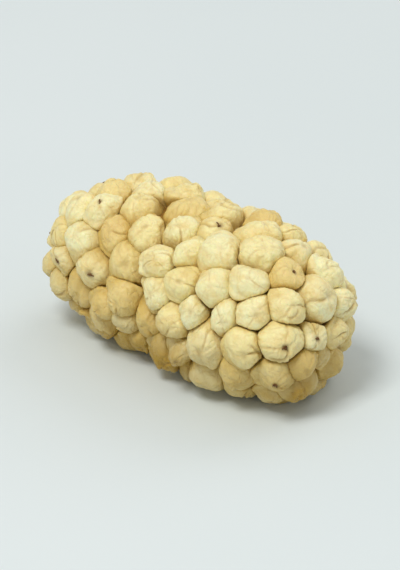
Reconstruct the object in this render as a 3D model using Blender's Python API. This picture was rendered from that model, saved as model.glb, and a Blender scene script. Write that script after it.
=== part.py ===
"""One dried white mulberry, lying on its side, with the pit that its stalk came out of.

The fruit is a syncarp: small fleshy drupelets packed round a core and grown together, so it is one solid.
It lies along X with the stalk's pit at -X, and rests at z = 0 on the flats that its lowest drupelets
dried with.
"""

import math

import bmesh
import bpy
import numpy as np
from mathutils import Matrix, Vector

MM = 0.001

# Driving dimensions of the fruit over the tips of its drupelets
LENGTH = 23.0 * MM
WIDTH = 11.6 * MM
HEIGHT = 11.8 * MM
DRUPELETS = 126

# Outline: a higher power is blunter, and the taper thins the fruit towards its stalk
END_BLUNTNESS = 3.3
SIDE_FULLNESS = 2.1
TAPER = 0.06
BEND = 0.9 * MM
TRAY_SQUEEZE = 0.9 * MM
SQUEEZE_SOFTNESS = 0.5 * MM

# Drupelets: their spread of sizes, how far they stand out, and how they lean towards the tip of the fruit
SIZE_SPREAD = 0.18
SIZE_LIMITS = (0.68, 1.36)
OVALNESS = 0.10
OVAL_LIMIT = 0.20
STRAY = 0.30 * MM
END_SHRINK = 0.12
END_SHRINK_POWER = 6
HEIGHT_SPREAD = 0.17 * MM
BULGE = 0.22 * MM
BULGE_LENGTH = 7.5 * MM
BULGE_WAVES = 6
LIFT_LIMIT = 0.38 * MM
SIDE_SHARE = 0.58
DEPTH_SHARE = 1.30
TIP_LEAN = 0.20
TIP_DIMPLE = 0.14
FACET_SWELL = 1.035
PIT_ROOM = 0.8
SETTLING_STEPS = 30
SETTLING_PUSH = 0.25
SEED = 58

# The core that the drupelets grow from, the flats under the lowest of them, and the pit of the stalk
CORE_DEPTH = 1.20 * MM
CORE_SIDES = 16
FLAT_DEPTH = 0.27 * MM
UNDERSIDE = -0.75
PIT_MOUTH_RADIUS = 0.75 * MM
PIT_FLOOR_RADIUS = 0.40 * MM
PIT_DEPTH = 3.0 * MM
PIT_SIDES = 8
MERGE = 0.004 * MM

FLESH_COLOUR = (0.72, 0.58, 0.33)
FLESH_ROUGHNESS = 0.62
CREASE_ANGLE = math.radians(40)

GOLDEN_ANGLE = math.pi * (3 - math.sqrt(5))
HEXAGON_SHARE = math.sqrt(3) / 2

# How closely the outline is followed, and when an axis counts as lying along X
HALVINGS = 40
BELTS = 2000
NEARLY_ALONG = 0.95


def clear_scene():
    """Removes every object, so that the script starts from an empty scene."""
    for old in list(bpy.data.objects):
        bpy.data.objects.remove(old)


def new_collection(name):
    """A collection linked to the scene."""
    made = bpy.data.collections.new(name)
    bpy.context.scene.collection.children.link(made)
    return made


def material(name, colour, roughness):
    """A plain Principled material of one colour."""
    made = bpy.data.materials.new(name)
    made.use_nodes = True
    shader = made.node_tree.nodes["Principled BSDF"]
    shader.inputs["Base Color"].default_value = (*colour, 1.0)
    shader.inputs["Roughness"].default_value = roughness
    shader.inputs["Metallic"].default_value = 0.0
    return made


def fullness(points):
    """1 on the surface of the straight body, less inside it and more outside it."""
    along = points[..., 0] / (LENGTH / 2)
    swell = 1 + TAPER * np.clip(along, -1, 1)
    across = np.hypot(points[..., 1] / (WIDTH / 2), points[..., 2] / (HEIGHT / 2)) / swell
    return np.abs(along) ** END_BLUNTNESS + across**SIDE_FULLNESS


def onto_body(points):
    """Each point moved onto the body's surface, straight away from the nearest place on its midline."""
    reach = (LENGTH - WIDTH) / 2
    middle = np.zeros_like(points)
    middle[..., 0] = np.clip(points[..., 0], -reach, reach)
    ray = points - middle
    ray /= np.linalg.norm(ray, axis=-1, keepdims=True)
    low, high = np.zeros(points.shape[:-1]), np.full(points.shape[:-1], LENGTH)
    for _ in range(HALVINGS):
        half = (low + high) / 2
        inside = fullness(middle + ray * half[..., None]) < 1
        low, high = np.where(inside, half, low), np.where(inside, high, half)
    return middle + ray * low[..., None]


def lie_down(points):
    """The body bent a little sideways, with its underside squeezed flat as it dried on a tray."""
    x, y, z = points[..., 0], points[..., 1], points[..., 2]
    along = x / (LENGTH / 2)
    low = TRAY_SQUEEZE - HEIGHT / 2
    lifted = low + SQUEEZE_SOFTNESS * np.logaddexp(0, (z - low) / SQUEEZE_SOFTNESS)
    return np.stack([x, y + BEND * (0.5 - along**2), lifted], axis=-1)


def even_spiral():
    """Golden-angle places with the same area of the body's surface to each, and that area."""
    turn = np.linspace(0, math.pi, BELTS + 1)
    half_round = np.stack([-np.cos(turn), np.sin(turn), np.zeros_like(turn)], axis=-1)
    outline = onto_body(half_round * (LENGTH / 2, WIDTH / 2, HEIGHT / 2))
    run = np.linalg.norm(np.diff(outline, axis=0), axis=1)
    belts = math.pi * run * (outline[1:, 1] + outline[:-1, 1])
    area = np.concatenate([[0], np.cumsum(belts)])
    number = np.arange(DRUPELETS)
    share = (number + 0.5) / DRUPELETS
    x = np.interp(share * area[-1], area, outline[:, 0])
    girth = np.interp(share * area[-1], area, outline[:, 1])
    angle = number * GOLDEN_ANGLE
    places = np.stack([x, girth * np.cos(angle), girth * np.sin(angle)], axis=-1)
    return onto_body(places), area[-1]


def settle(places, size, spacing):
    """Drupelets pushed apart over the body until each has the room that its size needs, clear of the pit."""
    pit = np.array([[-LENGTH / 2, 0.0, 0.0]])
    sizes = np.append(size, PIT_ROOM)
    for _ in range(SETTLING_STEPS):
        everything = np.concatenate([places, pit])
        apart = everything[:, None] - everything[None]
        distance = np.linalg.norm(apart, axis=-1) + np.eye(len(everything))
        wanted = spacing * (sizes[:, None] + sizes[None]) / 2
        push = np.clip(wanted - distance, 0, None) / distance
        np.fill_diagonal(push, 0)
        moved = everything + SETTLING_PUSH * (apart * push[..., None]).sum(axis=1)
        places = onto_body(moved[:-1])
    return places


def outward_at(places):
    """Unit normals of the body as it lies, at places on the straight body."""
    step = 1e-3 * MM
    slopes = [fullness(places + step * axis) - fullness(places - step * axis) for axis in np.eye(3)]
    normal = np.stack(slopes, axis=-1)
    normal /= np.linalg.norm(normal, axis=1, keepdims=True)
    reference = np.where(np.abs(normal[:, :1]) < NEARLY_ALONG, [[1.0, 0.0, 0.0]], [[0.0, 1.0, 0.0]])
    sides = [np.cross(normal, reference)]
    sides.append(np.cross(normal, sides[0]))
    lying = [lie_down(places + step * side) - lie_down(places - step * side) for side in sides]
    out = np.cross(*lying)
    return out / np.linalg.norm(out, axis=1, keepdims=True)


def drupelet_frames():
    """For each drupelet its centre, its three axes (two across it and one outward) and its half sizes."""
    chance = np.random.default_rng(SEED)
    size = np.clip(chance.normal(1, SIZE_SPREAD, DRUPELETS), *SIZE_LIMITS)
    lift = chance.normal(0, HEIGHT_SPREAD, DRUPELETS)
    oval = np.clip(chance.normal(0, OVALNESS, DRUPELETS), -OVAL_LIMIT, OVAL_LIMIT)
    spin = chance.uniform(0, math.pi, DRUPELETS)
    waves = chance.normal(0, 2 * math.pi / BULGE_LENGTH / math.sqrt(3), (3, BULGE_WAVES))
    phases = chance.uniform(0, 2 * math.pi, BULGE_WAVES)
    places, area = even_spiral()
    places = onto_body(places + chance.normal(0, STRAY, places.shape))
    spacing = math.sqrt(area / DRUPELETS / HEXAGON_SHARE)
    size *= 1 - END_SHRINK * np.abs(places[:, 0] / (LENGTH / 2)) ** END_SHRINK_POWER
    places = settle(places, size, spacing)
    lift += BULGE * np.sin(places @ waves + phases).sum(axis=1) / math.sqrt(BULGE_WAVES / 2)
    lift = np.clip(lift, -LIFT_LIMIT, LIFT_LIMIT)
    out = outward_at(places)
    lift[out[:, 2] < UNDERSIDE] = 0
    out[:, 0] += TIP_LEAN * (1 - out[:, 0] ** 2)
    out /= np.linalg.norm(out, axis=1, keepdims=True)
    side = spacing * size * SIDE_SHARE
    depth = side * DEPTH_SHARE
    tips = lie_down(places)
    frames = []
    for i in range(DRUPELETS):
        outward = Vector(out[i])
        reference = Vector((1, 0, 0)) if abs(outward.x) < NEARLY_ALONG else Vector((0, 1, 0))
        turned = Matrix.Rotation(spin[i], 3, outward)
        first = turned @ outward.cross(reference).normalized()
        second = outward.cross(first)
        centre = Vector(tips[i]) - outward * (depth[i] - lift[i])
        halves = (side[i] * (1 + oval[i]), side[i] * (1 - oval[i]), depth[i])
        frames.append((centre, (first, second, outward), halves))
    return frames


def drupelet_matrix(frame):
    """The matrix that turns a unit ball into this drupelet, swollen a little for its flat facets."""
    centre, axes, halves = frame
    columns = [axis * half * FACET_SWELL for axis, half in zip(axes, halves)]
    turned = Matrix([[column[row] for column in columns] for row in range(3)])
    return Matrix.Translation(centre) @ turned.to_4x4()


def mesh_object(name, shape, collection):
    """A new object in the collection, made of the bmesh, which is freed."""
    mesh = bpy.data.meshes.new(name)
    bmesh.ops.recalc_face_normals(shape, faces=shape.faces)
    shape.to_mesh(mesh)
    shape.free()
    made = bpy.data.objects.new(name, mesh)
    collection.objects.link(made)
    return made


def add_drupelet(name, frame, collection):
    """One drupelet: a ball with few faces, dimpled at its tip where the style dried, but not underneath."""
    shape = bmesh.new()
    bmesh.ops.create_icosphere(shape, subdivisions=2, radius=1.0)
    outward = frame[1][2]
    if outward.z > UNDERSIDE:
        tip = max(shape.verts, key=lambda vertex: vertex.co.z)
        tip.co.z -= TIP_DIMPLE
    bmesh.ops.transform(shape, matrix=drupelet_matrix(frame), verts=shape.verts)
    return mesh_object(name, shape, collection)


def add_core(name, collection):
    """The body under the drupelets: a ball drawn out to the fruit's own outline and set in from it."""
    shape = bmesh.new()
    bmesh.ops.create_uvsphere(shape, u_segments=CORE_SIDES, v_segments=CORE_SIDES, radius=1.0)
    ball = np.array([[v.co.z, v.co.x, v.co.y] for v in shape.verts])
    outline = onto_body(ball * (LENGTH / 2, WIDTH / 2, HEIGHT / 2))
    shrunk = outline * (1 - 2 * CORE_DEPTH / np.array([LENGTH, WIDTH, HEIGHT]))
    for vertex, place in zip(shape.verts, lie_down(shrunk)):
        vertex.co = place
    return mesh_object(name, shape, collection)


def add_floor_cutter(level, collection):
    """A block whose top is at level, which slices the lowest drupelets flat."""
    shape = bmesh.new()
    bmesh.ops.create_cube(shape, size=1.0)
    bmesh.ops.scale(shape, vec=(2 * LENGTH, 2 * WIDTH, HEIGHT), verts=shape.verts)
    bmesh.ops.translate(shape, vec=(0, 0, level - HEIGHT / 2), verts=shape.verts)
    return mesh_object("floor_cutter", shape, collection)


def add_pit_cutter(collection):
    """A blunt cone from beyond the stalk's end to the bottom of the pit that the stalk left."""
    mouth = Vector(lie_down(np.array([-LENGTH / 2, 0.0, 0.0])))
    shape = bmesh.new()
    bmesh.ops.create_cone(
        shape,
        cap_ends=True,
        segments=PIT_SIDES,
        radius1=PIT_MOUTH_RADIUS,
        radius2=PIT_FLOOR_RADIUS,
        depth=2 * PIT_DEPTH,
    )
    bmesh.ops.rotate(shape, matrix=Matrix.Rotation(math.pi / 2, 3, "Y"), verts=shape.verts)
    bmesh.ops.translate(shape, vec=mouth, verts=shape.verts)
    return mesh_object("pit_cutter", shape, collection)


def apply_boolean(target, operation, operands):
    """Joins all objects of a collection to the target, or cuts them from it, and removes them."""
    modifier = target.modifiers.new("boolean", "BOOLEAN")
    modifier.operation = operation
    modifier.solver = "EXACT"
    modifier.operand_type = "COLLECTION"
    modifier.collection = operands
    bpy.context.view_layer.update()
    graph = bpy.context.evaluated_depsgraph_get()
    result = bpy.data.meshes.new_from_object(target.evaluated_get(graph))
    target.modifiers.remove(modifier)
    target.data = result
    for operand in list(operands.objects):
        bpy.data.objects.remove(operand)
    bpy.data.collections.remove(operands)


def lowest_level(fruit):
    """The height of the fruit's lowest point."""
    return min(vertex.co.z for vertex in fruit.data.vertices)


def clean(target):
    """Merges the points that the Booleans left closer than MERGE, and drops the faces with no area."""
    shape = bmesh.new()
    shape.from_mesh(target.data)
    bmesh.ops.remove_doubles(shape, verts=shape.verts, dist=MERGE)
    bmesh.ops.dissolve_degenerate(shape, dist=MERGE / 2, edges=shape.edges)
    shape.to_mesh(target.data)
    shape.free()


def build_fruit(parts):
    """The core and its drupelets as one solid, sliced flat underneath and with the pit of its stalk."""
    fruit = add_core("fruit", parts)
    growing = new_collection("growing")
    for number, frame in enumerate(drupelet_frames()):
        add_drupelet(f"drupelet_{number:03d}", frame, growing)
    apply_boolean(fruit, "UNION", growing)
    cutting = new_collection("cutting")
    add_floor_cutter(lowest_level(fruit) + FLAT_DEPTH, cutting)
    add_pit_cutter(cutting)
    apply_boolean(fruit, "DIFFERENCE", cutting)
    clean(fruit)
    return fruit


def rest_on_origin(fruit):
    """Moves the mesh so that the middle of its box's underside is the origin."""
    corners = np.array([vertex.co for vertex in fruit.data.vertices])
    low, high = corners.min(axis=0), corners.max(axis=0)
    middle = (low + high) / 2
    fruit.data.transform(Matrix.Translation((-middle[0], -middle[1], -low[2])))


def main():
    """Builds the dried mulberry."""
    clear_scene()
    parts = new_collection("dried_mulberry")
    fruit = build_fruit(parts)
    rest_on_origin(fruit)
    fruit.data.shade_smooth()
    fruit.data.set_sharp_from_angle(angle=CREASE_ANGLE)
    fruit.data.materials.clear()
    fruit.data.materials.append(material("mulberry_flesh", FLESH_COLOUR, FLESH_ROUGHNESS))


main()
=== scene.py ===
"""The looks of one dried white mulberry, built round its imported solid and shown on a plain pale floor.

Every drupelet of the solid is grown again here in the same place, with many more faces. It is squeezed
against its neighbours, folded where its four tepals meet and shrivelled, and some have the dark remnant of
their style at the tip.
"""

import math

import bpy
import numpy as np
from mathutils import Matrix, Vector

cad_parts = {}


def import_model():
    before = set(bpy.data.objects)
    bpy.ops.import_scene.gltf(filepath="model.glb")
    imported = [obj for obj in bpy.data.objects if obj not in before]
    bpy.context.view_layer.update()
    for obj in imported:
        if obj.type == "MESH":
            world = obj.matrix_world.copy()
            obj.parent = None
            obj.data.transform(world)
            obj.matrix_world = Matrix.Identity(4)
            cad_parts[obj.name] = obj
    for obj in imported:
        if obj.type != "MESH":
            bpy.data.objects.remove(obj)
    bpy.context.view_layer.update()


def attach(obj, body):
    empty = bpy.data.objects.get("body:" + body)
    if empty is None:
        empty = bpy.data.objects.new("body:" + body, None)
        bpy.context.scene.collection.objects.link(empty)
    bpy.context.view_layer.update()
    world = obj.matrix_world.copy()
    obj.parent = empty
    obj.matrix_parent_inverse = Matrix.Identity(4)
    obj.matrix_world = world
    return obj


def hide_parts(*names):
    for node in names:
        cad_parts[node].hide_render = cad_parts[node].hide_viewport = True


MM = 0.001

# The layout of the solid, with the same names and values as in the part's source
LENGTH = 23.0 * MM
WIDTH = 11.6 * MM
HEIGHT = 11.8 * MM
DRUPELETS = 126
END_BLUNTNESS = 3.3
SIDE_FULLNESS = 2.1
TAPER = 0.06
BEND = 0.9 * MM
TRAY_SQUEEZE = 0.9 * MM
SQUEEZE_SOFTNESS = 0.5 * MM
SIZE_SPREAD = 0.18
SIZE_LIMITS = (0.68, 1.36)
OVALNESS = 0.10
OVAL_LIMIT = 0.20
STRAY = 0.30 * MM
END_SHRINK = 0.12
END_SHRINK_POWER = 6
HEIGHT_SPREAD = 0.17 * MM
BULGE = 0.22 * MM
BULGE_LENGTH = 7.5 * MM
BULGE_WAVES = 6
LIFT_LIMIT = 0.38 * MM
SIDE_SHARE = 0.58
DEPTH_SHARE = 1.30
TIP_LEAN = 0.20
PIT_ROOM = 0.8
SETTLING_STEPS = 30
SETTLING_PUSH = 0.25
SEED = 58
UNDERSIDE = -0.75
PIT_MOUTH_RADIUS = 0.75 * MM
PIT_FLOOR_RADIUS = 0.40 * MM
PIT_DEPTH = 3.0 * MM
GOLDEN_ANGLE = math.pi * (3 - math.sqrt(5))
HEXAGON_SHARE = math.sqrt(3) / 2
HALVINGS = 40
BELTS = 2000
NEARLY_ALONG = 0.95

# Where the solid's own origin lies, so that the pieces here coincide with it
TO_ROW = np.array([0.07381, -0.23834, 4.72989]) * MM

# Faces of a drupelet round its tip, down its open part and down its hidden part, which end at these angles
ROUND = 84
DOWN_OPEN = 28
DOWN_HIDDEN = 4
OPEN_ANGLE = math.radians(84)
LOWEST_ANGLE = math.radians(118)

# The drupelets make up this many pieces, one after another along the fruit
GROUPS = 5

# How the drupelets press on each other: a higher power makes flatter contacts and sharper grooves
SQUEEZE_POWER = 8.5
PRESSING_REACH = 1.15
PRESS_LIMIT = 4
SIDE_SWELL = 1.08

# How far neighbours have grown into one, in patches of about the last length and more so near the stalk
FUSED_USUAL = 0.5
FUSED_SPREAD = 0.9
FUSED_TO_STALK = 0.35
FUSED_MOST = 0.15
FUSED_PATCH = 3.2 * MM

# Round its widest part each drupelet spreads into the gaps, and the floor flattens what would sink into it
SKIRT = 0.30
SKIRT_FROM = 0.88
FLOOR_SOFTNESS = 0.02 * MM
FLOOR_REACH = 6

# The core lies deeper than the solid's, so that it shows only at the bottom of the widest gaps
CORE_DEPTH = 1.65 * MM
CORE_OVER_FLOOR = 1.35 * MM
CORE_ROWS = 64
CORE_COLUMNS = 72
CORE_UNEVENNESS = 0.02
CORE_LUMPS = 9
FUNNEL_WIDTH = 1.3

# The brown stain of the pit fades between these many times its radius, which counts as at least the last
STAIN_INNER = 1.02
STAIN_OUTER = 1.5
THINNEST_PIT = 0.1 * MM

# Seeds of what varies from one drupelet to the next, of the noise in their relief and of the styles
VARIETY_SEED = 33
RELIEF_SEED = 21
STYLE_SEED = 52

# The noise: cells before it repeats, how far out the drupelets read it, and the gain that brings it near 1
NOISE_CELLS = 256
NOISE_ROOM = 40
NOISE_GAIN = 1.6

# How the drupelets differ: a pair is a range, a share says how many have the thing, others are spreads
ROUNDNESS = (1.9, 2.2)
SKEW = 0.07
SEAM_SHIFT = 0.35
SEAM_TWIST = 0.45
SLIT_SHARE = 0.24
SLIT_STRENGTH = (0.5, 1.4)
SLIT_LEAN = 0.20
SLIT_RADIUS = (0.26, 0.52)
PUCKER_STRENGTH = (0.1, 1.2)
SHRIVEL = (0.6, 1.4)
DENT_SHARE = 0.28
DENT_DEPTH = (0.06, 0.20)
DENT_LEAN = 0.45
DIMPLE_STRENGTH = (0.2, 1.4)
STYLED_SHARE = 0.26

# Whole numbers, from the first up to but without the second: puckers to a tip, and arms to a style
PUCKERS = (9, 17)
STYLE_ARMS = (2, 5)

# How brown a tip is: a range for those that a style dried on, and one value for the others
STAIN = (0.4, 0.9)
PLAIN_STAIN = 0.05

# How strong each seam's cut and its lapping edge are: shape and scale of a gamma draw, and its limit
CUT_DRAW = (0.8, 0.5, 1.8)
LAP_DRAW = (0.9, 0.6, 2.2)

# The seams where tepals meet, as shares of a drupelet's size, with their band, reach and wander as angles
TEPALS = 4
SEAM_BAND = (0.05, 0.30, 0.70, 1.35)
SEAM_REACH = 1.6
SEAM_WIDTH = 0.05
SEAM_CUT = 0.042
SEAM_WANDER = 0.55
LAP_RISE = (-0.02, 0.05)
LAP_LENGTH = 0.28
LAP_HEIGHT = 0.032

# The crescent slits, in the same shares, with their ends as angles round them
SLIT_ENDS = (0.8, 1.5)
SLIT_WIDTH = 0.045
SLIT_CUT = 0.060
SLIT_LIP = 0.030
SLIT_LIP_AT = 0.10
SLIT_LIP_WIDTH = 0.08
SLIT_WAVER = 0.05

# The dimple at a tip, the puckers round it, the dents and a little shrinkage, in such shares and angles
DIMPLE_RADIUS = 0.15
DIMPLE_DEPTH = 0.045
DIMPLE_SEAM = 0.7
PUCKER_HEIGHT = 0.016
PUCKER_BAND = (0.35, 0.75, 1.1, 1.6)
PUCKER_WAVER = 3.0
PUCKER_USUAL = 0.3
DENT_RADIUS = 0.40
SHRINKAGE = 0.012

# Swells are (height, how often), and creases (depth, how often, where in the noise, sharpness)
SWELLS = ((0.070, 1.4), (0.024, 3.3), (0.006, 11.0))
CREASES = ((0.028, 3.1, 3.0, 6), (0.012, 6.3, 8.0, 5))
CREASE_WANDER = 0.12

# Painted shade in the grooves and gaps goes by the depth under a rounded outside of that radius, down to this
# many millimetres
BODY_RADIUS = 6.5 * MM
DEEPEST = 2.0

# How far the stain of a tip spreads, as an angle
TIP_STAIN = 0.12

# Each arm of a style starts at that angle from its drupelet's tip and goes on over an angle in that range
STYLE_START = 0.01
STYLE_REACH = (0.06, 0.19)
STYLE_STEPS = 8
STYLE_SIDES = 6

# Each arm turns on from the one before it, curls on the way, arches over the skin and tapers
STYLE_TURN = 1.9
STYLE_TURN_SPREAD = 0.5
STYLE_CURL = 1.1
STYLE_CURL_POWER = 1.5
STYLE_LIFT = 0.01 * MM
STYLE_ARCH = 0.07 * MM
STYLE_RADIUS = (0.04 * MM, 0.085 * MM)
STYLE_TAPER = 0.75
STYLE_UNEVENNESS = 0.3
STYLE_KNOTS = 6

# No remnants are left on drupelets that face further down than this
STYLE_LOWEST = -0.3

# The colours of the fruit and the floor, as sRGB values
CREAMS = (
    (0.0, (248, 242, 194)),
    (0.4, (254, 245, 192)),
    (0.75, (251, 237, 174)),
    (0.9, (243, 222, 152)),
    (1.0, (233, 204, 130)),
)
STRAW = (238, 216, 146)
CARAMEL = (232, 207, 132)
# Painted shade: the underside is darker and warmer towards the bottom
UNDERSIDE_PAINTED_SHADE = (178, 143, 46)
# Painted shade in the seams where the tepals meet
SEAM_PAINTED_SHADE = (186, 150, 72)
# Painted shade in the grooves between drupelets, and darker deeper in the gaps
GROOVE_PAINTED_SHADE = (214, 182, 94)
GAP_PAINTED_SHADE = (142, 108, 40)
STAIN_BROWN = (110, 76, 30)
# Painted shade in the fine creases of the skin
CREASE_PAINTED_SHADE = (196, 156, 84)
# The core's brown, darkened as painted shade of the deep gaps where it shows
CORE_COLOURS_AND_SHADE = ((128, 90, 30), (180, 136, 58))
STYLE_COLOURS = ((84, 54, 26), (136, 96, 50))
FLOOR_COLOURS = ((219, 229, 232), (223, 232, 235))

# Painted shade darkens and warms the underside, from the first height down to the second
UNDERSIDE_SHADE_HEIGHTS = (6.2 * MM, 2.0 * MM)

# The floor, the middle of the fruit, and the photo's view of it, with its angles in degrees
FLOOR_RADIUS = 2.0
FLOOR_SIDES = 96
MIDDLE = (0.0, 0.0, 4.9 * MM)
VIEW_AZIMUTH = 42
VIEW_ELEVATION = 28
VIEW_DISTANCE = 0.55
VIEW_WIDTH = 25.2 * MM
SENSOR_WIDTH = 36.0


def fullness(points):
    """1 on the surface of the straight body, less inside it and more outside it."""
    along = points[..., 0] / (LENGTH / 2)
    swell = 1 + TAPER * np.clip(along, -1, 1)
    across = np.hypot(points[..., 1] / (WIDTH / 2), points[..., 2] / (HEIGHT / 2)) / swell
    return np.abs(along) ** END_BLUNTNESS + across**SIDE_FULLNESS


def onto_body(points):
    """Each point moved onto the body's surface, straight away from the nearest place on its midline."""
    reach = (LENGTH - WIDTH) / 2
    middle = np.zeros_like(points)
    middle[..., 0] = np.clip(points[..., 0], -reach, reach)
    ray = points - middle
    ray /= np.linalg.norm(ray, axis=-1, keepdims=True)
    low, high = np.zeros(points.shape[:-1]), np.full(points.shape[:-1], LENGTH)
    for _ in range(HALVINGS):
        half = (low + high) / 2
        inside = fullness(middle + ray * half[..., None]) < 1
        low, high = np.where(inside, half, low), np.where(inside, high, half)
    return middle + ray * low[..., None]


def lie_down(points):
    """The body bent a little sideways, with its underside squeezed flat as it dried on a tray."""
    x, y, z = points[..., 0], points[..., 1], points[..., 2]
    along = x / (LENGTH / 2)
    low = TRAY_SQUEEZE - HEIGHT / 2
    lifted = low + SQUEEZE_SOFTNESS * np.logaddexp(0, (z - low) / SQUEEZE_SOFTNESS)
    return np.stack([x, y + BEND * (0.5 - along**2), lifted], axis=-1)


def even_spiral():
    """Golden-angle places with the same area of the body's surface to each, and that area."""
    turn = np.linspace(0, math.pi, BELTS + 1)
    half_round = np.stack([-np.cos(turn), np.sin(turn), np.zeros_like(turn)], axis=-1)
    outline = onto_body(half_round * (LENGTH / 2, WIDTH / 2, HEIGHT / 2))
    run = np.linalg.norm(np.diff(outline, axis=0), axis=1)
    belts = math.pi * run * (outline[1:, 1] + outline[:-1, 1])
    area = np.concatenate([[0], np.cumsum(belts)])
    number = np.arange(DRUPELETS)
    share = (number + 0.5) / DRUPELETS
    x = np.interp(share * area[-1], area, outline[:, 0])
    girth = np.interp(share * area[-1], area, outline[:, 1])
    angle = number * GOLDEN_ANGLE
    places = np.stack([x, girth * np.cos(angle), girth * np.sin(angle)], axis=-1)
    return onto_body(places), area[-1]


def settle(places, size, spacing):
    """Drupelets pushed apart over the body until each has the room that its size needs, clear of the pit."""
    pit = np.array([[-LENGTH / 2, 0.0, 0.0]])
    sizes = np.append(size, PIT_ROOM)
    for _ in range(SETTLING_STEPS):
        everything = np.concatenate([places, pit])
        apart = everything[:, None] - everything[None]
        distance = np.linalg.norm(apart, axis=-1) + np.eye(len(everything))
        wanted = spacing * (sizes[:, None] + sizes[None]) / 2
        push = np.clip(wanted - distance, 0, None) / distance
        np.fill_diagonal(push, 0)
        moved = everything + SETTLING_PUSH * (apart * push[..., None]).sum(axis=1)
        places = onto_body(moved[:-1])
    return places


def outward_at(places):
    """Unit normals of the body as it lies, at places on the straight body."""
    step = 1e-3 * MM
    slopes = [fullness(places + step * axis) - fullness(places - step * axis) for axis in np.eye(3)]
    normal = np.stack(slopes, axis=-1)
    normal /= np.linalg.norm(normal, axis=1, keepdims=True)
    reference = np.where(np.abs(normal[:, :1]) < NEARLY_ALONG, [[1.0, 0.0, 0.0]], [[0.0, 1.0, 0.0]])
    sides = [np.cross(normal, reference)]
    sides.append(np.cross(normal, sides[0]))
    lying = [lie_down(places + step * side) - lie_down(places - step * side) for side in sides]
    out = np.cross(*lying)
    return out / np.linalg.norm(out, axis=1, keepdims=True)


def drupelet_frames():
    """The drupelets' centres, axes (as columns: two across and one outward), half sizes and lifts."""
    chance = np.random.default_rng(SEED)
    size = np.clip(chance.normal(1, SIZE_SPREAD, DRUPELETS), *SIZE_LIMITS)
    lift = chance.normal(0, HEIGHT_SPREAD, DRUPELETS)
    oval = np.clip(chance.normal(0, OVALNESS, DRUPELETS), -OVAL_LIMIT, OVAL_LIMIT)
    spin = chance.uniform(0, math.pi, DRUPELETS)
    waves = chance.normal(0, 2 * math.pi / BULGE_LENGTH / math.sqrt(3), (3, BULGE_WAVES))
    phases = chance.uniform(0, 2 * math.pi, BULGE_WAVES)
    places, area = even_spiral()
    places = onto_body(places + chance.normal(0, STRAY, places.shape))
    spacing = math.sqrt(area / DRUPELETS / HEXAGON_SHARE)
    size *= 1 - END_SHRINK * np.abs(places[:, 0] / (LENGTH / 2)) ** END_SHRINK_POWER
    places = settle(places, size, spacing)
    lift += BULGE * np.sin(places @ waves + phases).sum(axis=1) / math.sqrt(BULGE_WAVES / 2)
    lift = np.clip(lift, -LIFT_LIMIT, LIFT_LIMIT)
    out = outward_at(places)
    lift[out[:, 2] < UNDERSIDE] = 0
    out[:, 0] += TIP_LEAN * (1 - out[:, 0] ** 2)
    out /= np.linalg.norm(out, axis=1, keepdims=True)
    side = spacing * size * SIDE_SHARE
    depth = side * DEPTH_SHARE
    centres = lie_down(places) + TO_ROW - out * (depth - lift)[:, None]
    reference = np.where(np.abs(out[:, :1]) < NEARLY_ALONG, [[1.0, 0.0, 0.0]], [[0.0, 1.0, 0.0]])
    flat = np.cross(out, reference)
    flat /= np.linalg.norm(flat, axis=1, keepdims=True)
    first = flat * np.cos(spin)[:, None] + np.cross(out, flat) * np.sin(spin)[:, None]
    axes = np.stack([first, np.cross(out, first), out], axis=2)
    return centres, axes, np.stack([side * (1 + oval), side * (1 - oval), depth], axis=1), lift


class Noise:
    """Smooth gradient noise in space, from about -1 to 1, the same on every run."""

    def __init__(self, seed):
        chance = np.random.default_rng(seed)
        self.order = chance.permutation(NOISE_CELLS)
        slopes = chance.normal(size=(NOISE_CELLS, 3))
        self.slopes = slopes / np.linalg.norm(slopes, axis=1, keepdims=True)

    def __call__(self, points, often=1.0, apart=0.0):
        """The noise at points, with that many waves to a unit, read that far from the noise's own origin."""
        points = points * often + apart
        cell = np.floor(points).astype(int)
        inside = points - cell
        ease = inside**3 * (inside * (inside * 6 - 15) + 10)
        total = np.zeros(points.shape[:-1])
        for corner in np.ndindex(2, 2, 2):
            x, y, z = (cell[..., axis] + corner[axis] for axis in range(3))
            slope = self.slopes[self.scrambled(self.scrambled(self.scrambled(x) + y) + z)]
            weight = np.prod(np.where(corner, ease, 1 - ease), axis=-1)
            total += weight * (slope * (inside - corner)).sum(axis=-1)
        return NOISE_GAIN * total

    def scrambled(self, number):
        """A whole number's place in the shuffled order."""
        return self.order[number % NOISE_CELLS]


def smooth_step(low, high, value):
    """0 up to low, 1 from high, and a smooth rise between them."""
    share = np.clip((value - low) / (high - low), 0, 1)
    return share * share * (3 - 2 * share)


def between(rise_from, rise_to, fall_from, fall_to, value):
    """A smooth hill: 0, then 1, then 0 again."""
    return smooth_step(rise_from, rise_to, value) * (1 - smooth_step(fall_from, fall_to, value))


def fading(distance, width):
    """1 at no distance, and falling smoothly to nothing past the width."""
    return np.exp(-((distance / width) ** 2))


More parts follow.
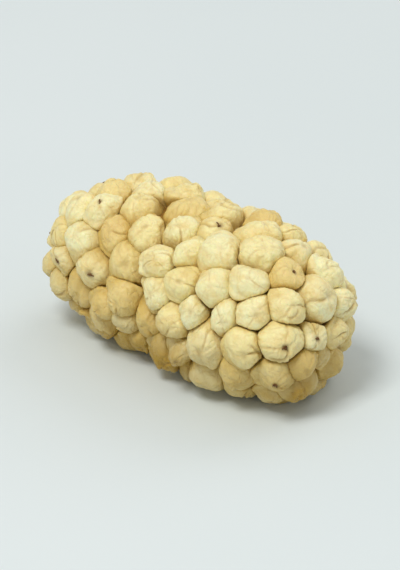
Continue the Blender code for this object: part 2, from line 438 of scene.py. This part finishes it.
class Fruit:
    """All drupelets, and the rule that gives any point of their skins."""

    def __init__(self):
        self.centres, self.axes, self.halves, self.lifts = drupelet_frames()
        self.halves[:, :2] *= SIDE_SWELL
        self.noise = Noise(RELIEF_SEED)
        chance = np.random.default_rng(VARIETY_SEED)
        count = DRUPELETS

        def capped(shape, scale, limit):
            return np.clip(chance.gamma(shape, scale, (count, TEPALS)), 0, limit)

        def for_some(share, limits):
            return np.where(chance.random(count) < share, chance.uniform(*limits, count), 0)

        self.offset = chance.uniform(-NOISE_ROOM, NOISE_ROOM, (count, 3))
        self.roundness = chance.uniform(*ROUNDNESS, count)
        self.skew = chance.normal(0, SKEW, (count, 2))
        self.turn = chance.uniform(0, 2 * math.pi, count)
        self.seam_shift = chance.normal(0, SEAM_SHIFT, (count, TEPALS))
        self.seam_twist = chance.normal(0, SEAM_TWIST, count)
        self.cut = capped(*CUT_DRAW)
        self.lap = capped(*LAP_DRAW)
        self.slit_strength = for_some(SLIT_SHARE, SLIT_STRENGTH)
        self.slit_lean = chance.normal(0, SLIT_LEAN, (count, 2))
        self.slit_radius = chance.uniform(*SLIT_RADIUS, count)
        self.slit_way = chance.uniform(-math.pi, math.pi, count)
        self.puckers = chance.integers(*PUCKERS, count)
        self.pucker_strength = chance.uniform(*PUCKER_STRENGTH, count)
        self.shrivel = chance.uniform(*SHRIVEL, count)
        self.tone = chance.uniform(0, 1, count)
        self.dent_depth = for_some(DENT_SHARE, DENT_DEPTH)
        self.dent_lean = chance.normal(0, DENT_LEAN, (count, 2))
        self.dimple_strength = chance.uniform(*DIMPLE_STRENGTH, count)
        self.styled = chance.random(count) < STYLED_SHARE
        self.stain = np.where(self.styled, chance.uniform(*STAIN, count), PLAIN_STAIN)

    def skin(self, i, theta, phi):
        """Points of drupelet i, how far they are sunk and how deep its seams are there.

        Theta is their angle from its tip, and phi their angle round it.
        """
        across, up = np.sin(theta), np.cos(theta)
        unit = np.stack([across * np.cos(phi), across * np.sin(phi), up], axis=-1)
        power = self.roundness[i]
        swell = (np.abs(across) ** power + np.abs(up) ** power) ** (-1 / power)
        skirt = 1 + SKIRT * smooth_step(SKIRT_FROM, 1, across)
        ray = (unit * self.halves[i] * (swell * skirt)[:, None]) @ self.axes[i].T
        squeezed = (1 + self.crowding(i, ray)) ** (-1 / SQUEEZE_POWER)
        relief, seam = self.relief(i, unit, theta, phi)
        points = self.centres[i] + ray * (squeezed * (1 + relief))[..., None]
        points = self.clear_pit(points)
        rise = FLOOR_SOFTNESS * np.logaddexp(0, points[..., 2] / FLOOR_SOFTNESS)
        points[..., 2] = np.where(points[..., 2] < FLOOR_REACH * FLOOR_SOFTNESS, rise, points[..., 2])
        return points, self.sunk(i, points), seam

    def sunk(self, i, points):
        """How far points of drupelet i lie below the fruit's rounded outside, in millimetres."""
        local = (points - self.centres[i]) @ self.axes[i]
        fall = (local[..., 0] ** 2 + local[..., 1] ** 2) / (2 * BODY_RADIUS)
        return (self.halves[i, 2] - self.lifts[i] - local[..., 2] - fall) / MM

    def crowding(self, i, ray):
        """How much the neighbours of drupelet i press on it along each ray."""
        apart = self.centres - self.centres[i]
        distance = np.linalg.norm(apart, axis=1)
        side = self.halves[:, :2].mean(axis=1) / SIDE_SWELL
        total = np.zeros(ray.shape[:-1])
        near = (distance > 0) & (distance < PRESSING_REACH * (side + side[i]))
        for j in np.nonzero(near)[0]:
            toward = apart[j] / distance[j]
            middle = (distance[j] + (side[i] ** 2 - side[j] ** 2) / distance[j]) / 2
            middle *= 1 + FUSED_MOST * self.fused((self.centres[i] + self.centres[j]) / 2)
            total += np.clip(ray @ toward / middle, 0, PRESS_LIMIT) ** SQUEEZE_POWER
        return total

    def fused(self, contact):
        """From 0 to 1, how far two drupelets have grown into one where they meet, more so near the stalk."""
        patch = FUSED_USUAL + FUSED_SPREAD * self.noise(contact / FUSED_PATCH)
        return np.clip(patch - FUSED_TO_STALK * contact[0] / (LENGTH / 2), 0, 1)

    def relief(self, i, unit, theta, phi):
        """The folds, dents and wrinkles of drupelet i, as a share of its size, and how deep its seams are."""
        place = unit + self.offset[i]
        wander = SEAM_WANDER * self.noise(place, often=1.7, apart=9.0) * np.sin(theta)
        waver = SLIT_WAVER * self.noise(place, often=4.0, apart=5.0)
        fold, seam = self.folds(i, theta, phi + wander)
        slit, slit_seam = self.slit(i, unit + waver[..., None])
        dimple = self.dimple_strength[i] * fading(theta, DIMPLE_RADIUS)
        height = unit[..., :2] @ self.skew[i] + fold + slit - DIMPLE_DEPTH * dimple
        height += self.pucker(i, place, theta, phi) - self.dent(i, unit) + self.wrinkles(i, place)
        seam = np.maximum(seam, slit_seam)
        # The dimple at the tip joins the seams, whose depth drives their painted shade
        return height - SHRINKAGE, np.maximum(seam, DIMPLE_SEAM * np.clip(dimple, 0, 1))

    def folds(self, i, theta, phi):
        """The seams where the four tepals meet, each with one edge lapping over the next."""
        height = np.zeros_like(theta)
        seam = np.zeros_like(theta)
        for k in range(TEPALS):
            start = self.turn[i] + k * 2 * math.pi / TEPALS + self.seam_shift[i, k]
            line = start + self.seam_twist[i] * theta
            off = (phi - line + math.pi) % (2 * math.pi) - math.pi
            across = off * np.sin(theta)
            window = between(*SEAM_BAND, theta) * (np.abs(off) < SEAM_REACH)
            cut = fading(across, SEAM_WIDTH) * window * self.cut[i, k]
            over = across if k % 2 else -across
            flap = smooth_step(*LAP_RISE, over) * np.exp(-np.clip(over, 0, None) / LAP_LENGTH)
            height += LAP_HEIGHT * self.lap[i, k] * flap * window - SEAM_CUT * cut
            seam = np.maximum(seam, np.clip(cut, 0, 1))
        return height, seam

    def slit(self, i, unit):
        """The crescent where the tepals of some drupelets gape, with a raised lip round it."""
        strength = self.slit_strength[i]
        if not strength:
            return 0.0, 0.0
        local = unit[..., :2] - self.slit_lean[i]
        off = (np.arctan2(local[..., 1], local[..., 0]) - self.slit_way[i] + math.pi) % (2 * math.pi)
        window = (1 - smooth_step(*SLIT_ENDS, np.abs(off - math.pi))) * (unit[..., 2] > 0)
        beyond = np.linalg.norm(local, axis=-1) - self.slit_radius[i]
        cut = fading(beyond, SLIT_WIDTH) * window
        lip = fading(beyond - SLIT_LIP_AT, SLIT_LIP_WIDTH) * window
        return strength * (SLIT_LIP * lip - SLIT_CUT * cut), np.clip(strength * cut, 0, 1)

    def pucker(self, i, place, theta, phi):
        """Fine pleats that run in towards the tip, in patches."""
        wave = np.cos(self.puckers[i] * phi + self.turn[i] + PUCKER_WAVER * self.noise(place, often=2.3))
        patchy = np.clip(PUCKER_USUAL + self.noise(place, often=1.9, apart=4.0), 0, 1)
        return PUCKER_HEIGHT * self.pucker_strength[i] * patchy * wave * between(*PUCKER_BAND, theta)

    def dent(self, i, unit):
        """The depth of the one dent that some drupelets have, on their open side."""
        distance = np.linalg.norm(unit[..., :2] - self.dent_lean[i], axis=-1) + (unit[..., 2] < 0)
        return self.dent_depth[i] * fading(distance, DENT_RADIUS)

    def wrinkles(self, i, place):
        """Low swells and sharp creases of the shrivelled skin."""
        height = sum(high * self.noise(place, often) for high, often in SWELLS)
        wander = CREASE_WANDER * self.noise(place, often=2.7, apart=1.0)
        warped = place + wander[..., None]
        for deep, often, apart, sharpness in CREASES:
            height -= deep * (1 - np.abs(self.noise(warped, often, apart))) ** sharpness
        return self.shrivel[i] * height

    def pit_frame(self, points):
        """Which way points lie off the pit's axis, how far, and the pit's radius beside them."""
        mouth = lie_down(np.array([-LENGTH / 2, 0.0, 0.0])) + TO_ROW
        off = points[..., 1:] - mouth[1:]
        radius = np.linalg.norm(off, axis=-1)
        depth = (points[..., 0] - mouth[0]) / PIT_DEPTH
        mid = (PIT_MOUTH_RADIUS + PIT_FLOOR_RADIUS) / 2
        wall = mid + (PIT_FLOOR_RADIUS - mid) * np.clip(depth, -1, 1)
        return off, radius, np.where(depth < 1, wall, 0.0)

    def clear_pit(self, points):
        """Points inside the pit that the stalk left, moved out to its wall."""
        off, radius, wall = self.pit_frame(points)
        moved = points.copy()
        moved[..., 1:] += off * (np.maximum(wall / np.maximum(radius, 1e-9), 1) - 1)[..., None]
        return moved

    def pit_stain(self, points):
        """1 on the pit's wall, and less round its mouth."""
        radius, wall = self.pit_frame(points)[1:]
        return 1 - smooth_step(STAIN_INNER, STAIN_OUTER, radius / np.maximum(wall, THINNEST_PIT))


def ring_angles(rows, columns):
    """Angles from one pole and round it: for that pole, a ring of points to each row, and the other pole."""
    theta = np.concatenate([[0.0], np.repeat(rows, columns), [math.pi]])
    phi = np.concatenate([[0.0], np.tile(np.arange(columns) * 2 * math.pi / columns, len(rows)), [0.0]])
    return theta, phi


def ring_faces(rows, columns):
    """Faces of a closed skin over the points of ring_angles."""
    ring = np.arange(columns)
    after = (ring + 1) % columns
    faces = [(0, 1 + a, 1 + b) for a, b in zip(ring, after)]
    for row in range(rows - 1):
        top, under = 1 + row * columns, 1 + (row + 1) * columns
        faces += [(top + a, under + a, under + b, top + b) for a, b in zip(ring, after)]
    base = 1 + (rows - 1) * columns
    faces += [(base + b, base + a, base + columns) for a, b in zip(ring, after)]
    return faces


def drupelet_mesh(fruit, i):
    """The vertices, faces and colour facts of one drupelet: rings down from its tip, closed in the core."""
    open_rows = OPEN_ANGLE * (np.arange(DOWN_OPEN) + 1) / DOWN_OPEN
    hidden_rows = OPEN_ANGLE + (LOWEST_ANGLE - OPEN_ANGLE) * (np.arange(DOWN_HIDDEN) + 1) / DOWN_HIDDEN
    theta, phi = ring_angles(np.concatenate([open_rows, hidden_rows]), ROUND)
    points, sunk, seam = fruit.skin(i, theta, phi)
    stain = np.maximum(fruit.stain[i] * fading(theta, TIP_STAIN), fruit.pit_stain(points))
    tone = np.full_like(theta, fruit.tone[i])
    # How far each point is sunk drives the painted shade of the grooves and gaps
    facts = np.stack([np.clip(sunk, 0, DEEPEST) / DEEPEST, seam, tone, stain], axis=-1)
    return points, ring_faces(DOWN_OPEN + DOWN_HIDDEN, ROUND), facts


def new_mesh_object(name, points, faces, facts=None):
    """A smooth mesh object, with its colour facts as a colour attribute."""
    mesh = bpy.data.meshes.new(name)
    mesh.from_pydata(points.tolist(), [], faces)
    mesh.shade_smooth()
    if facts is not None:
        layer = mesh.attributes.new("facts", "FLOAT_COLOR", "POINT")
        layer.data.foreach_set("color", facts.astype(np.float32).ravel())
    made = bpy.data.objects.new(name, mesh)
    bpy.context.scene.collection.objects.link(made)
    return made


def grow_drupelets(fruit):
    """All drupelets in a few pieces, from the stalk's end to the tip."""
    order = np.argsort(fruit.centres[:, 0])
    pieces = []
    for group, members in enumerate(np.array_split(order, GROUPS)):
        points, faces, facts, start = [], [], [], 0
        for i in members:
            its_points, its_faces, its_facts = drupelet_mesh(fruit, i)
            points.append(its_points)
            facts.append(its_facts)
            faces += [tuple(corner + start for corner in face) for face in its_faces]
            start += len(its_points)
        name = f"drupelets_{group + 1}"
        pieces.append(new_mesh_object(name, np.concatenate(points), faces, np.concatenate(facts)))
    return pieces


def grow_core(fruit):
    """The body under the drupelets, with the funnel of the stalk's pit."""
    rows = np.linspace(0, math.pi, CORE_ROWS + 1)[1:-1]
    theta, phi = ring_angles(rows, CORE_COLUMNS)
    ball = np.stack([np.cos(theta), np.sin(theta) * np.cos(phi), np.sin(theta) * np.sin(phi)], axis=-1)
    outline = onto_body(ball * (LENGTH / 2, WIDTH / 2, HEIGHT / 2))
    rough = 1 + CORE_UNEVENNESS * fruit.noise(ball, often=CORE_LUMPS)
    shrunk = outline * (1 - 2 * CORE_DEPTH / np.array([LENGTH, WIDTH, HEIGHT])) * rough[:, None]
    radius = np.hypot(shrunk[:, 1], shrunk[:, 2])
    inside_pit = 1 - smooth_step(PIT_FLOOR_RADIUS, FUNNEL_WIDTH * PIT_MOUTH_RADIUS, radius)
    shrunk[:, 0] += (shrunk[:, 0] < 0) * inside_pit * (PIT_DEPTH - CORE_DEPTH)
    points = lie_down(shrunk) + TO_ROW
    above = (points[:, 2] - CORE_OVER_FLOOR) / SQUEEZE_SOFTNESS
    points[:, 2] = CORE_OVER_FLOOR + SQUEEZE_SOFTNESS * np.logaddexp(0, above)
    return new_mesh_object("core", points, ring_faces(len(rows), CORE_COLUMNS))


def tube(path, radii, sides):
    """Vertices and faces of a closed tube along a path, with a radius at each point."""
    tangent = np.gradient(path, axis=0)
    tangent /= np.linalg.norm(tangent, axis=1, keepdims=True)
    not_along = np.array([0.3, 0.5, 0.81])
    first = np.cross(tangent, not_along)
    first /= np.linalg.norm(first, axis=1, keepdims=True)
    second = np.cross(tangent, first)
    angle = np.arange(sides) * 2 * math.pi / sides
    spokes = np.cos(angle)[None, :, None] * first[:, None] + np.sin(angle)[None, :, None] * second[:, None]
    rings = path[:, None] + radii[:, None, None] * spokes
    faces = []
    for row in range(len(path) - 1):
        for a in range(sides):
            b = (a + 1) % sides
            top, under = row * sides, (row + 1) * sides
            faces.append((top + a, top + b, under + b, under + a))
    end = (len(path) - 1) * sides
    faces.append(tuple(range(sides))[::-1])
    faces.append(tuple(range(end, end + sides)))
    return rings.reshape(-1, 3), faces


def grow_styles(fruit):
    """The dark dried remnants of the styles: a few short thick crumbs lying on some of the tips."""
    chance = np.random.default_rng(STYLE_SEED)
    share = np.linspace(0, 1, STYLE_STEPS)
    points, faces, start = [], [], 0
    for i in range(DRUPELETS):
        outward = fruit.axes[i][:, 2]
        if not fruit.styled[i] or outward[2] < STYLE_LOWEST:
            continue
        way = chance.uniform(0, 2 * math.pi)
        for arm in range(chance.integers(*STYLE_ARMS)):
            theta = STYLE_START + chance.uniform(*STYLE_REACH) * share
            turn = arm * (STYLE_TURN + chance.normal(0, STYLE_TURN_SPREAD))
            phi = way + turn + chance.normal(0, STYLE_CURL) * share**STYLE_CURL_POWER
            skin = fruit.skin(i, theta, phi)[0]
            lift = STYLE_LIFT + STYLE_ARCH * chance.random() * np.sin(share * math.pi)
            waver = 1 + STYLE_UNEVENNESS * np.cos(STYLE_KNOTS * share + way)
            radii = chance.uniform(*STYLE_RADIUS) * (1 - STYLE_TAPER * share**2) * waver
            its_points, its_faces = tube(skin + outward * lift[:, None], radii, STYLE_SIDES)
            points.append(its_points)
            faces += [tuple(corner + start for corner in face) for face in its_faces]
            start += len(its_points)
    return new_mesh_object("style_remnants", np.concatenate(points), faces)


def linear(*srgb):
    """A linear colour with alpha from sRGB values of 0 to 255."""
    shares = np.array(srgb) / 255
    values = np.where(shares <= 0.04045, shares / 12.92, ((shares + 0.055) / 1.055) ** 2.4)
    return (*values.tolist(), 1.0)


class Shader:
    """A Principled material whose nodes are added by short calls."""

    def __init__(self, name, roughness, specular):
        self.material = bpy.data.materials.new(name)
        self.material.use_nodes = True
        self.nodes = self.material.node_tree.nodes
        self.links = self.material.node_tree.links
        self.principled = self.nodes["Principled BSDF"]
        self.principled.inputs["Roughness"].default_value = roughness
        self.principled.inputs["Specular IOR Level"].default_value = specular

    def node(self, kind, inputs=None, **settings):
        """A new node, with its settings and with a value or a link to each input given."""
        made = self.nodes.new(kind)
        for name, value in settings.items():
            setattr(made, name, value)
        for name, value in (inputs or {}).items():
            self.put(made.inputs[name], value)
        return made

    def put(self, socket, value):
        """Links the value into the socket if it comes from a node, and sets it there if not."""
        if isinstance(value, bpy.types.NodeSocket):
            self.links.new(value, socket)
        else:
            socket.default_value = value

    def position(self):
        """Each point's place on the object, in metres."""
        return self.node("ShaderNodeTexCoord").outputs["Object"]

    def height(self):
        """Each point's height over the floor, in metres."""
        return self.node("ShaderNodeSeparateXYZ", {"Vector": self.position()}).outputs["Z"]

    def facts(self):
        """The four colour facts that the drupelets' vertices carry: sunk, seam, tone and stain."""
        read = self.node("ShaderNodeAttribute", attribute_name="facts")
        split = self.node("ShaderNodeSeparateColor", {"Color": read.outputs["Color"]})
        return (*split.outputs[:3], read.outputs["Alpha"])

    def noise(self, size, detail, rough, seed=0.0, swirl=0.0):
        """Noise from 0 to 1 with lumps of about that size, in a pattern that the seed moves."""
        moved = self.node("ShaderNodeVectorMath", {0: self.position(), 1: (seed, seed, seed)})
        settings = {"Scale": 1 / size, "Detail": detail, "Roughness": rough, "Distortion": swirl}
        return self.node("ShaderNodeTexNoise", {"Vector": moved.outputs[0], **settings}).outputs["Fac"]

    def ramp(self, value, *stops):
        """A colour for each value, blended between stops of a place from 0 to 1 and its sRGB colour."""
        made = self.node("ShaderNodeValToRGB", {"Fac": value})
        points = made.color_ramp.elements
        while len(points) < len(stops):
            points.new(0.5)
        for point, (at, srgb) in zip(points, stops):
            point.position = at
            point.color = linear(*srgb)
        return made.outputs["Color"]

    def spread(self, value, low, high, new_low=0.0, new_high=1.0):
        """The value moved from its range between low and high to the new range, and held inside that."""
        return self.node(
            "ShaderNodeMapRange",
            {"Value": value, "From Min": low, "From Max": high, "To Min": new_low, "To Max": new_high},
        ).outputs["Result"]

    def maths(self, operation, first, second):
        """The outcome of that operation on the two values."""
        made = self.node("ShaderNodeMath", {0: first, 1: second}, operation=operation)
        return made.outputs["Value"]

    def tint(self, share, colour, srgb):
        """The colour with that share of the sRGB colour mixed in."""
        made = self.node("ShaderNodeMix", data_type="RGBA", blend_type="MIX")
        for socket, value in ((0, share), (6, colour), (7, linear(*srgb))):
            self.put(made.inputs[socket], value)
        return made.outputs[2]

    def bump(self, height, distance, under=None):
        """Bumps of that height times the distance, on top of those under them."""
        made = self.node("ShaderNodeBump", {"Height": height, "Distance": distance, "Strength": 1.0})
        if under is not None:
            self.links.new(under, made.inputs["Normal"])
        return made.outputs["Normal"]

    def finish(self, colour, normal=None, roughness=None):
        """The material, with its colour and what else is given put into the shader."""
        for name, value in (("Base Color", colour), ("Normal", normal), ("Roughness", roughness)):
            if value is not None:
                self.put(self.principled.inputs[name], value)
        return self.material


def flesh_material():
    """Cream skin with straw mottle and caramel patches; painted shade makes it tan in its seams and creases,
    tan to brown deep between the drupelets and warmer lower down.
    """
    shader = Shader("mulberry_flesh", roughness=0.55, specular=0.42)
    sunk, seam, tone, stain = shader.facts()
    mottle = shader.noise(0.9 * MM, detail=3.0, rough=0.55)
    patches = shader.noise(2.6 * MM, detail=2.0, rough=0.5, seed=7.0)
    clouds = shader.noise(3.0 * MM, detail=2.0, rough=0.5, seed=3.0)
    veins = shader.noise(0.55 * MM, detail=2.0, rough=0.5, seed=11.0, swirl=0.6)
    wrinkles = shader.noise(0.30 * MM, detail=4.0, rough=0.58, swirl=0.9)
    pores = shader.noise(0.07 * MM, detail=2.0, rough=0.5)
    off_vein = shader.maths("ABSOLUTE", shader.maths("SUBTRACT", veins, 0.5), 0.0)
    creases = shader.spread(off_vein, 0.0, 0.11)
    patch = shader.maths("MULTIPLY", shader.spread(patches, 0.52, 0.70), 0.5)
    cloud = shader.spread(clouds, 0.35, 0.65, new_low=0.45)
    # Painted shade: darker and warmer towards the bottom, broken up in clouds
    low = shader.maths("MULTIPLY", shader.spread(shader.height(), *UNDERSIDE_SHADE_HEIGHTS), cloud)
    colour = shader.ramp(tone, *CREAMS)
    colour = shader.tint(shader.spread(mottle, 0.46, 0.74), colour, STRAW)
    colour = shader.tint(patch, colour, CARAMEL)
    colour = shader.tint(low, colour, UNDERSIDE_PAINTED_SHADE)
    # Painted shade in the seams
    colour = shader.tint(shader.maths("MULTIPLY", seam, 0.55), colour, SEAM_PAINTED_SHADE)
    # Painted shade in the grooves and gaps, by how far the points are sunk
    colour = shader.tint(shader.spread(sunk, 0.18, 0.58, new_high=0.8), colour, GROOVE_PAINTED_SHADE)
    colour = shader.tint(shader.spread(sunk, 0.58, 0.95, new_high=0.85), colour, GAP_PAINTED_SHADE)
    colour = shader.tint(stain, colour, STAIN_BROWN)
    # Painted shade in the fine creases
    colour = shader.tint(shader.spread(creases, 0.0, 1.0, new_low=0.10, new_high=0.0), colour, CREASE_PAINTED_SHADE)
    normal = shader.bump(wrinkles, 0.040 * MM)
    normal = shader.bump(pores, 0.010 * MM, under=normal)
    normal = shader.bump(creases, 0.024 * MM, under=normal)
    roughness = shader.spread(mottle, 0.3, 0.7, new_low=0.38, new_high=0.56)
    shader.principled.inputs["Coat Weight"].default_value = 0.12
    shader.principled.inputs["Coat Roughness"].default_value = 0.34
    shader.principled.inputs["Subsurface Weight"].default_value = 0.5
    shader.principled.inputs["Subsurface Radius"].default_value = (1.0, 0.85, 0.6)
    shader.principled.inputs["Subsurface Scale"].default_value = 0.25 * MM
    return shader.finish(colour, normal, roughness)


def two_tone_material(name, colours, size, detail, rough, roughness, specular, bump=None):
    """A material that wavers between two colours, with a bump of that height in the same pattern."""
    shader = Shader(name, roughness, specular)
    grain = shader.noise(size, detail, rough)
    colour = shader.ramp(grain, (0.3, colours[0]), (0.7, colours[1]))
    normal = shader.bump(grain, bump) if bump else None
    return shader.finish(colour, normal)


def core_material():
    """The brown fibrous inside that shows deep between the drupelets and in the pit, darkened as painted
    shade of the deep gaps.
    """
    return two_tone_material(
        "mulberry_core",
        CORE_COLOURS_AND_SHADE,
        size=0.5 * MM,
        detail=4.0,
        rough=0.6,
        roughness=0.75,
        specular=0.3,
        bump=0.08 * MM,
    )


def style_material():
    """The dark brown, dry crumbs that are left of the styles."""
    return two_tone_material(
        "style_remnants",
        STYLE_COLOURS,
        size=0.12 * MM,
        detail=3.0,
        rough=0.6,
        roughness=0.6,
        specular=0.3,
        bump=0.02 * MM,
    )


def floor_material():
    """A plain pale floor with the faintest unevenness."""
    return two_tone_material(
        "floor",
        FLOOR_COLOURS,
        size=40 * MM,
        detail=2.0,
        rough=0.5,
        roughness=0.6,
        specular=0.2,
    )


def dress(piece, material):
    """The piece takes the material, rides on the fruit's body and stands for the solid."""
    piece.data.materials.append(material)
    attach(piece, "root")
    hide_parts("fruit")


def add_floor():
    """A wide round floor at the height that the fruit rests on."""
    angle = np.arange(FLOOR_SIDES) * 2 * math.pi / FLOOR_SIDES
    rim = np.stack([np.cos(angle), np.sin(angle), np.zeros_like(angle)], axis=-1) * FLOOR_RADIUS
    floor = new_mesh_object("floor", rim, [tuple(range(FLOOR_SIDES))])
    floor.data.materials.append(floor_material())


def set_world(colour, strength):
    """An even soft light from all round."""
    world = bpy.data.worlds.new("studio")
    world.use_nodes = True
    background = world.node_tree.nodes["Background"]
    background.inputs["Color"].default_value = (*colour, 1.0)
    background.inputs["Strength"].default_value = strength
    bpy.context.scene.world = world


def place_round(made, azimuth, elevation, distance):
    """Puts a light or camera at that distance from the fruit's middle, facing it, and into the scene.

    The azimuth turns from -Y, in front of the fruit, towards +X.
    """
    a, e = math.radians(azimuth), math.radians(elevation)
    way = Vector((math.sin(a) * math.cos(e), -math.cos(a) * math.cos(e), math.sin(e)))
    made.location = Vector(MIDDLE) + distance * way
    made.rotation_euler = (Vector(MIDDLE) - made.location).to_track_quat("-Z", "Y").to_euler()
    bpy.context.scene.collection.objects.link(made)


def add_light(name, azimuth, elevation, distance, size, power, colour):
    """A square soft light that points at the fruit."""
    data = bpy.data.lights.new(name, "AREA")
    data.size = size
    data.energy = power
    data.color = colour
    place_round(bpy.data.objects.new(name, data), azimuth, elevation, distance)


def add_camera():
    """The photo's view of the fruit."""
    data = bpy.data.cameras.new("camera")
    data.sensor_fit = "HORIZONTAL"
    data.sensor_width = SENSOR_WIDTH
    data.lens = SENSOR_WIDTH * VIEW_DISTANCE / VIEW_WIDTH
    data.clip_start = 0.01
    data.clip_end = 20.0
    camera = bpy.data.objects.new("camera", data)
    place_round(camera, VIEW_AZIMUTH, VIEW_ELEVATION, VIEW_DISTANCE)
    bpy.context.scene.camera = camera


def main():
    """Builds the fruit, its floor, its light and its camera."""
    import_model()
    fruit = Fruit()
    flesh = flesh_material()
    for piece in grow_drupelets(fruit):
        dress(piece, flesh)
    dress(grow_core(fruit), core_material())
    dress(grow_styles(fruit), style_material())
    add_floor()
    set_world(colour=(1.0, 0.99, 0.96), strength=0.50)
    add_light("key", azimuth=4, elevation=62, distance=0.40, size=0.14, power=0.80, colour=(1.0, 0.98, 0.94))
    add_light("rim", azimuth=175, elevation=40, distance=0.45, size=0.30, power=0.36, colour=(1.0, 1.0, 1.0))
    add_camera()
    bpy.context.scene.view_settings.view_transform = "Standard"


main()
